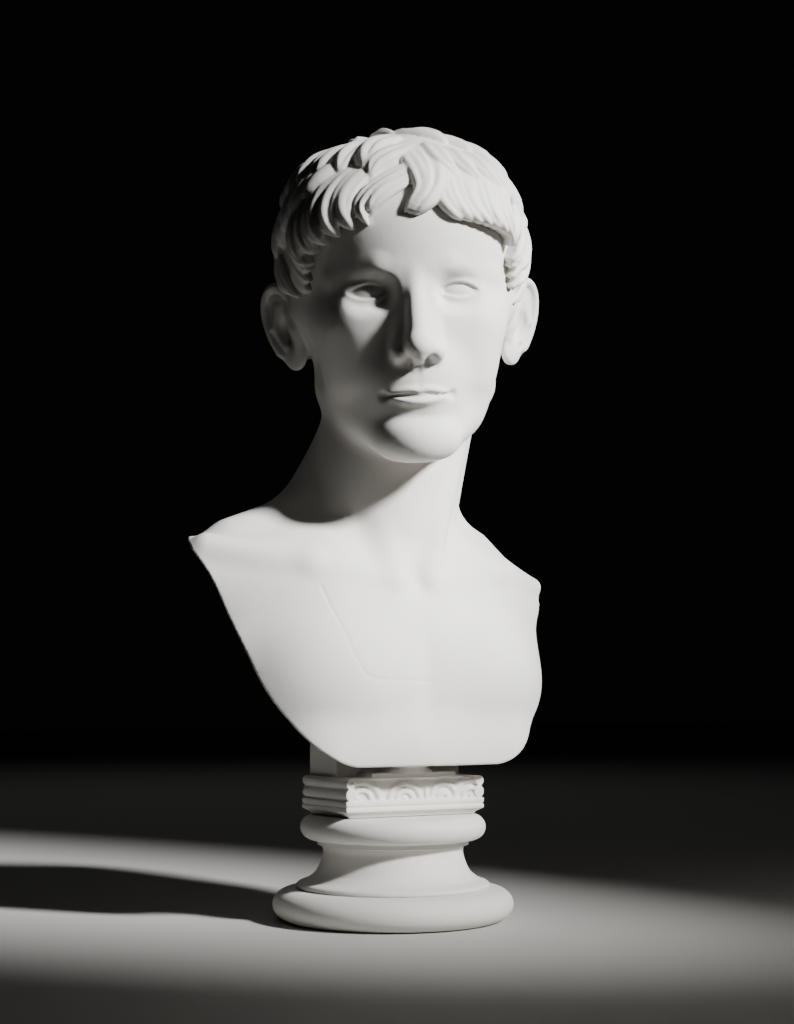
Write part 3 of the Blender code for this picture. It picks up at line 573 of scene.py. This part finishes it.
def lockPaths(locks, count=20):
    # smooth curves through the given places, laid on the scalp
    t = np.linspace(0, 1, count)
    fine = []
    for steps, *rest in locks:
        c = np.array(steps, float)
        knots = np.linspace(0, 1, len(c))
        fine.append(np.stack([curve(t, knots, c[:, 0]), curve(t, knots, c[:, 1])], 1))
    fine = np.array(fine)
    p = onScalp(fine[..., 0].ravel(), fine[..., 1].ravel())
    n = scalpNormal(p)
    p = p.reshape(len(locks), count, 3)
    n = n.reshape(len(locks), count, 3)
    along = np.gradient(p, axis=1)
    along /= np.linalg.norm(along, axis=2)[..., None] + 1e-9
    return p, n, along


def addLocks(name):
    # every lock is a long drop with a ridged top, sunk through the scalp into the head
    locks = lockRows() + lockFans()
    p, n, t = lockPaths(locks)
    bm = bmesh.new()
    bmesh.ops.create_uvsphere(bm, u_segments=hair["around"], v_segments=hair["along"], radius=1)
    piece = fromBmesh(name, bm)
    unit = np.array([v.co for v in piece.data.vertices])
    copies = piece.modifiers.new("locks", "ARRAY")
    copies.count = len(locks)
    copies.use_relative_offset = False
    copies.use_constant_offset = True
    copies.constant_offset_displace = (0, 0, 0)
    applyModifiers(piece)
    s = np.arccos(np.clip(-unit[:, 2], -1, 1)) / math.pi
    turn = np.arctan2(unit[:, 1], unit[:, 0])
    turn[np.abs(unit[:, 2]) > 0.9999] = math.pi / 2
    k = s * (p.shape[1] - 1)
    i = np.minimum(k.astype(int), p.shape[1] - 2)
    f = (k - i)[None, :, None]
    middle = p[:, i] * (1 - f) + p[:, i + 1] * f
    normal = n[:, i] * (1 - f) + n[:, i + 1] * f
    ahead = t[:, i] * (1 - f) + t[:, i + 1] * f
    side = np.cross(ahead, normal)
    side /= np.linalg.norm(side, axis=2)[..., None] + 1e-9
    end = np.sqrt(np.clip(s / hair["closed"], 0, 1))
    width, stout, blunt = (np.array([lock[j] for lock in locks])[:, None] for j in (1, 2, 3))
    taper = (1 - s[None] ** blunt) ** 0.8
    half = 0.5 * width * (0.72 + 0.28 * np.sin(math.pi * s)) * taper * end
    crest = (0.30 + 0.70 * ease(0.0, 0.62, s)) * (1 - 0.40 * ease(0.75, 1.0, s))
    crest = hair["high"] * crest * end * np.clip((1 - s) / hair["closed"], 0, 1) ** 0.5
    u, v = np.cos(turn), np.sin(turn)
    rng = np.random.default_rng(hair["seed"])
    strands = rng.choice(hair["strands"], len(locks))[:, None]
    shift = rng.uniform(-0.35, 0.35, len(locks))[:, None]
    depth = hair["groove"] * rng.uniform(0.7, 1.3, len(locks))[:, None]
    ridges = np.abs(np.sin(strands * (turn + shift * np.sin(turn)))) ** 0.7
    groove = 1 - depth * (1 - ridges) * ease(1.0, 0.8, np.abs(u)) * ease(0.05, 0.3, s)
    top = np.where(v >= 0, crest * np.abs(v) ** 0.75 * groove, 0)
    under = np.where(v < 0, hair["sink"] * end * np.abs(v), 0)
    aside = half * np.where(v >= 0, u, u * 0.8)[None]
    co = middle + side * aside[..., None] + normal * (stout * top - under[None])[..., None]
    piece.data.vertices.foreach_set("co", co.ravel())
    return piece


def addCap(name, lift=0.5, sink=8.0, short=5.0):
    # thin layer under the locks, so that none of the scalp shows between them; it ends some
    # degrees short of the hair's edge
    bm = bmesh.new()
    bmesh.ops.create_uvsphere(bm, u_segments=64, v_segments=40, radius=1)
    piece = fromBmesh(name, bm)
    unit = np.array([v.co for v in piece.data.vertices])
    t = 1 - np.abs(np.arcsin(np.clip(unit[:, 2], -1, 1))) / (math.pi / 2)
    around = np.degrees(np.arctan2(unit[:, 0], unit[:, 1]))
    p = onScalp(t * (edgeAt(around) - short), around)
    outer = lift - (lift + sink / 2) * t ** 8
    inner = -sink * (1 - t ** 8) - sink / 2 * t ** 8
    high = np.where(unit[:, 2] >= 0, outer, inner)
    piece.data.vertices.foreach_set("co", (p + scalpNormal(p) * high[:, None]).ravel())
    return piece


def makeHair():
    bm = bmesh.new()
    for layer in (addCap("hairCap"), addLocks("hairLocks")):
        bm.from_mesh(layer.data)
        bpy.data.objects.remove(layer)
    piece = fromBmesh("bustHair", bm)
    piece.data.transform(headPlace)
    remesh(piece, hair["cell"])
    print("hair joined", len(piece.data.vertices), flush=True)
    thin(piece, hair["triangles"])
    piece.data.transform(place)
    return piece


# Carved tablet: hollow moulding at its foot, two thin plates, carved field, narrow cap.
tablet = {
    "width": 107.5,
    "depth": 64.5,
    "height": 30,
    "cell": 0.55,
    "triangles": 120000,
    "levels": (  # inset of the sides, inset of the front, level
        (5, 5, 0), (4.6, 4.6, 0.7), (3.4, 3.4, 2.2), (1.2, 1.2, 3.6), (0.2, 0.2, 4.0),
        (0, 0, 6.5), (1.0, 1.0, 6.9), (1.0, 1.0, 7.5), (0, 0, 7.9), (0, 0, 10.9),
        (4, 3.2, 11.5), (4, 3.2, 24.6), (4.6, 1.6, 25.1), (4.6, 1.6, 26.0), (21, 3.2, 26.2),
        (21, 3.2, 27.2), (22, 4.2, 27.5), (22, 4.2, 27.9), (21.2, 3.4, 28.2), (21.2, 3.4, 29.0),
    ),
    "fieldInset": 3.2,
    "fieldFoot": 11.2,  # level that the relief grows from
    # rounded bands of the relief: centre across, radius, width, share of height, start and end
    "bands": (
        (-41, 13.6, 5.0, 0.92, -5, 112), (-41, 6.8, 3.6, 1.0, -5, 150), (-46, 2.2, 4.4, 1.0, 0, 180),
        (44, 12.6, 4.6, 0.95, 62, 185), (44, 6.4, 3.8, 1.0, 40, 185), (45.5, 1.8, 3.6, 1.0, 0, 180),
        (-8, 11.6, 4.4, 0.92, 0, 180), (-8, 6.0, 4.2, 0.92, 0, 180), (-8, 0.8, 3.4, 0.8, 0, 180),
        (22.5, 9.6, 4.2, 1.05, 0, 180), (22.5, 3.6, 5.0, 1.0, 0, 180),
    ),
    "stem": (8.6, 1.92, 0.84, 17, 13),  # between the leaves: across, two radii, middle, height
    "proud": 1.9,
    "rolls": ((15.2, 4.0), (22.6, 3.4)),  # level and radius of the scroll ends
    "rollShort": 0.6,
    "worn": (0.5, 4),  # edges go soft in the mould: strength and repeats
}


def addBand(bm, across, radius, width, tall, start, end, level, front, steps=28):
    # rounded band of the relief, spun from one circle that stands in the front
    ring = bmesh.ops.create_circle(bm, cap_ends=True, segments=16, radius=1)["verts"]
    size = Matrix.Diagonal((width / 2, tablet["proud"], 1, 1))
    turnBack = Matrix.Rotation(-math.radians(start), 4, "Y")
    lay = turnBack @ Matrix.Translation((radius, -front, 0)) @ size
    bmesh.ops.transform(bm, matrix=lay, verts=ring)
    first = ring[0].link_faces[0]
    turn = math.radians(end - start)
    spun = bmesh.ops.spin(bm, geom=[first], cent=(0, 0, 0), axis=(0, -1, 0), angle=turn, steps=steps)
    faces = {first} | {g for g in spun["geom_last"] if isinstance(g, bmesh.types.BMFace)}
    verts = set()
    todo = list(faces)
    while todo:  # everything linked to the first face
        face = todo.pop()
        for v in face.verts:
            if v not in verts:
                verts.add(v)
                todo.extend(v.link_faces)
    moveTo = Matrix.Translation((across, 0, level)) @ Matrix.Diagonal((1, 1, tall, 1))
    bmesh.ops.transform(bm, matrix=moveTo, verts=list(verts))


def addRod(bm, segments, low, high, depth, stand):
    bmesh.ops.create_cone(
        bm, cap_ends=True, segments=segments, radius1=low, radius2=high, depth=depth, matrix=stand,
    )


def makeTablet():
    bm = bmesh.new()
    halfW, halfD = tablet["width"] / 2, tablet["depth"] / 2
    levels = tablet["levels"]
    a, b, level = levels[0]
    lay = Matrix.Translation((0, 0, level)) @ Matrix.Diagonal((halfW - a, halfD - b, 1, 1))
    start = bmesh.ops.create_grid(bm, x_segments=1, y_segments=1, size=1, matrix=lay)["verts"]
    face = start[0].link_faces[0]
    for a, b, level in levels[1:]:
        raised = bmesh.ops.extrude_face_region(bm, geom=[face])["geom"]
        verts = [g for g in raised if isinstance(g, bmesh.types.BMVert)]
        face = [g for g in raised if isinstance(g, bmesh.types.BMFace)][0]
        for v in verts:
            v.co = (math.copysign(halfW - a, v.co.x), math.copysign(halfD - b, v.co.y), level)
    front = halfD - tablet["fieldInset"]
    for band in tablet["bands"]:
        addBand(bm, *band, tablet["fieldFoot"], front)
    across, low, high, middle, tall = tablet["stem"]
    stand = Matrix.Translation((across, -front, middle)) @ Matrix.Diagonal((1, 1.2, 1, 1))
    addRod(bm, 24, low, high, tall, stand)
    lying = Matrix.Rotation(math.radians(90), 4, "X")
    for side in (-1, 1):
        for level, radius in tablet["rolls"]:
            stand = Matrix.Translation((side * (halfW - radius), 0, level)) @ lying
            addRod(bm, 40, radius, radius, tablet["depth"] - tablet["rollShort"], stand)
    bmesh.ops.recalc_face_normals(bm, faces=bm.faces)
    piece = fromBmesh("bustTablet", bm)
    remesh(piece, tablet["cell"])
    soft = piece.modifiers.new("softened", "SMOOTH")
    soft.factor, soft.iterations = tablet["worn"]
    applyModifiers(piece)
    thin(piece, tablet["triangles"])
    size = Matrix.Scale(figure["tabletHeight"] / tablet["height"], 4)
    piece.data.transform(Matrix.Translation((0, 0, figure["tabletFloor"])) @ size)
    print("tablet made", flush=True)
    return piece


# Turned foot: profile as shares of its radius and height, from the bottom up.
socle = {
    "radius": 0.082,
    "height": 0.070,
    "steps": 128,
    "round": 20,  # points on a roll
    "sharp": 35,  # degrees from which an edge stays crisp
    "lip": ((0.793, 0.306), (0.802, 0.320), (0.799, 0.343), (0.780, 0.360), (0.720, 0.384)),
    "waist": ((0.688, 0.410), (0.642, 0.458), (0.606, 0.542), (0.583, 0.640), (0.592, 0.708)),
}


def swell(centre, across, level, tall, start, stop):
    count = socle["round"]
    angles = [math.radians(start + (stop - start) * i / (count - 1)) for i in range(count)]
    return [(centre + across * math.cos(a), level + tall * math.sin(a)) for a in angles]


def softened(points, parts=5):
    # finer curve through a few places of the profile
    t = np.linspace(0, len(points) - 1, (len(points) - 1) * parts + 1)
    across, up = zip(*points)
    return list(zip(curve(t, range(len(points)), across), curve(t, range(len(points)), up)))


def makeSocle():
    profile = [(0, 0)]
    profile += swell(0.845, 0.155, 0.150, 0.150, -90, 78)
    profile += softened(socle["lip"])
    profile += softened(socle["waist"])
    profile += [(0.630, 0.716), (0.630, 0.760)]
    profile += swell(0.670, 0.103, 0.882, 0.118, -76, 90)
    profile += [(0, 1)]
    bm = bmesh.new()
    last = bmesh.ops.create_vert(bm, co=(0, 0, 0))["vert"]
    for r, z in profile[1:]:
        last = bmesh.ops.extrude_vert_indiv(bm, verts=last)["verts"]
        last[0].co = (socle["radius"] * r, 0, socle["height"] * z)
    bmesh.ops.spin(
        bm, geom=bm.verts[:] + bm.edges[:], cent=(0, 0, 0), axis=(0, 0, 1), angle=math.tau,
        steps=socle["steps"], use_merge=True,
    )
    bmesh.ops.remove_doubles(bm, verts=bm.verts, dist=1e-6)
    bmesh.ops.recalc_face_normals(bm, faces=bm.faces)
    print("foot turned", flush=True)
    return fromBmesh("socleTurned", bm)


def linear(code):
    # sRGB hex colour to linear numbers
    parts = [int(code[i:i + 2], 16) / 255 for i in (1, 3, 5)]
    return (*[c / 12.92 if c <= 0.04045 else ((c + 0.055) / 1.055) ** 2.4 for c in parts], 1)


def addNode(tree, kind, settings=None, inputs=None):
    # adds a node; an input is a value, or a node's output that is linked to it
    node = tree.nodes.new(kind)
    for name, value in (settings or {}).items():
        setattr(node, name, value)
    for name, value in (inputs or {}).items():
        if isinstance(value, bpy.types.NodeSocket):
            tree.links.new(value, node.inputs[name])
        else:
            node.inputs[name].default_value = value
    return node


castPlaster = {
    "light": "#EDEBE7",
    "warm": "#E3E0DA",
    # grey of the painted shade in the recesses
    "paintedShade": "#BDBAB4",
    "roughness": 0.72,
    "ior": 1.52,
    "cloudSize": 0.045,  # metres between paler and warmer clouds
    "grainSize": 0.0008,  # fine tooth of the set plaster
    "grain": (0.06, 0.0004),  # strength and depth
    "patches": 90.0,  # a patch of uneven skin is about 11 mm
    "uneven": (0.10, 0.0012),
    "hollowReach": 0.012,
    "paintedShading": (0.2, 0.8, 0.4),  # openness where the painted shade is darkest, where it ends, how much
}
turnedPlaster = dict(castPlaster, light="#EEECE8", warm="#E5E2DC", roughness=0.66)


def makePlaster(name, look):
    # gypsum plaster cast in a mould, or turned, and left bare: matt and slightly cloudy, with a
    # fine tooth and an uneven skin that soften the light, and painted shade darkening the recesses
    made = bpy.data.materials.new(name)
    made.use_nodes = True
    tree = made.node_tree
    shader = tree.nodes["Principled BSDF"]
    shader.inputs["Roughness"].default_value = look["roughness"]
    shader.inputs["IOR"].default_value = look["ior"]
    where = addNode(tree, "ShaderNodeTexCoord").outputs["Object"]
    cloud = addNode(
        tree, "ShaderNodeTexNoise",
        inputs={"Vector": where, "Scale": 1 / look["cloudSize"], "Detail": 4.0},
    )
    shade = addNode(
        tree, "ShaderNodeMix", {"data_type": "RGBA"},
        {"Factor": cloud.outputs["Fac"], "A": linear(look["light"]), "B": linear(look["warm"])},
    )
    # painted shade: the colour darkens toward grey where nearby forms close in over the surface, in
    # recesses and creases
    hollow = addNode(
        tree, "ShaderNodeAmbientOcclusion", {"samples": 8, "only_local": False},
        {"Distance": look["hollowReach"]},
    )
    tight, clear, most = look["paintedShading"]
    shadeAmount = addNode(
        tree, "ShaderNodeMapRange",
        inputs={
            "Value": hollow.outputs["AO"], "From Min": tight, "From Max": clear,
            "To Min": most, "To Max": 0.0,
        },
    )
    paintedShading = addNode(
        tree, "ShaderNodeMix", {"data_type": "RGBA"},
        {"Factor": shadeAmount.outputs["Result"], "A": shade.outputs["Result"], "B": linear(look["paintedShade"])},
    )
    tree.links.new(paintedShading.outputs["Result"], shader.inputs["Base Color"])
    grain = addNode(
        tree, "ShaderNodeTexNoise",
        inputs={"Vector": where, "Scale": 1 / look["grainSize"], "Detail": 2.0},
    )
    strength, depth = look["grain"]
    tooth = addNode(
        tree, "ShaderNodeBump",
        inputs={"Height": grain.outputs["Fac"], "Strength": strength, "Distance": depth},
    )
    uneven = addNode(
        tree, "ShaderNodeTexNoise",
        inputs={"Vector": where, "Scale": look["patches"], "Detail": 3.0},
    )
    strength, depth = look["uneven"]
    soft = addNode(
        tree, "ShaderNodeBump",
        inputs={
            "Height": uneven.outputs["Fac"], "Strength": strength, "Distance": depth,
            "Normal": tooth.outputs["Normal"],
        },
    )
    tree.links.new(soft.outputs["Normal"], shader.inputs["Normal"])
    return made


plasterCast = makePlaster("plasterCastBare", castPlaster)
plasterTurned = makePlaster("plasterTurnedBare", turnedPlaster)

for piece in (makeBody(), makeHair(), makeTablet()):
    finishPiece(piece, "bust", plasterCast)
turned = makeSocle()
finishPiece(turned, "socle", plasterTurned)
turned.data.set_sharp_from_angle(angle=math.radians(socle["sharp"]))
print("pieces dressed", flush=True)

# Plain pale floor, camera where the photograph was taken from, and plain studio light.
studio = {
    "floor": "#C6C4C0",
    "floorSize": 12.0,
    "air": "#E9EBEE",
    "airPower": 0.002,
    "slim": 0.62,  # width of the key's oval as a share of its height
    "blend": 0.3,
    "camera": (-0.5635, -0.976, 0.151),
    "pitch": 6.445,
    "heading": -30.14,
    "lens": 56.953125,
    "sensor": 36,  # height, in mm like the lens
    "target": (-0.005, 0, 0.285),  # the lamps point here
    # name, kind, heading from the chest's front, height angle, distance, size, cone, watts
    "lamps": (
        ("key", "SPOT", 27, 29, 2.4, 0.18, 14.6, 900),
        ("fill", "AREA", -75, 15, 2.4, 1.6, 0, 0.05),
        ("back", "AREA", 160, 40, 2.2, 1.4, 0, 1.0),
    ),
}
bm = bmesh.new()
bmesh.ops.create_grid(bm, x_segments=1, y_segments=1, size=studio["floorSize"] / 2)
floor = fromBmesh("floor", bm)
paper = bpy.data.materials.new("paintedFloorMatt")
paper.use_nodes = True
shader = paper.node_tree.nodes["Principled BSDF"]
shader.inputs["Base Color"].default_value = linear(studio["floor"])
shader.inputs["Roughness"].default_value = 0.85  # matt paint, no shine
floor.data.materials.append(paper)

world = bpy.data.worlds.new("studioAir")
world.use_nodes = True
shader = world.node_tree.nodes["Background"]
shader.inputs["Color"].default_value = linear(studio["air"])
shader.inputs["Strength"].default_value = studio["airPower"]
bpy.context.scene.world = world

target = Vector(studio["target"])
for name, kind, heading, height, distance, size, cone, watts in studio["lamps"]:
    lamp = bpy.data.lights.new(name, kind)
    lamp.energy = watts
    if kind == "SPOT":
        lamp.shadow_soft_size = size
        lamp.spot_size = math.radians(cone)
        lamp.spot_blend = studio["blend"]
    else:
        lamp.shape = "DISK"
        lamp.size = size
    a, e = math.radians(heading), math.radians(height)
    way = Vector((math.sin(a) * math.cos(e), -math.cos(a) * math.cos(e), math.sin(e)))
    shown = newObject(name, lamp)
    shown.location = target + way * distance
    shown.rotation_euler = way.to_track_quat("Z", "Y").to_euler()
    if kind == "SPOT":
        shown.scale = (studio["slim"], 1, 1)  # upright oval of light

camera = newObject("camera", bpy.data.cameras.new("camera"))
camera.location = studio["camera"]
camera.rotation_euler = (math.radians(90 + studio["pitch"]), 0, math.radians(studio["heading"]))
camera.data.lens = studio["lens"]
camera.data.sensor_fit = "VERTICAL"
camera.data.sensor_height = studio["sensor"]
camera.data.clip_start = 0.01
bpy.context.scene.camera = camera
print("studio set", flush=True)
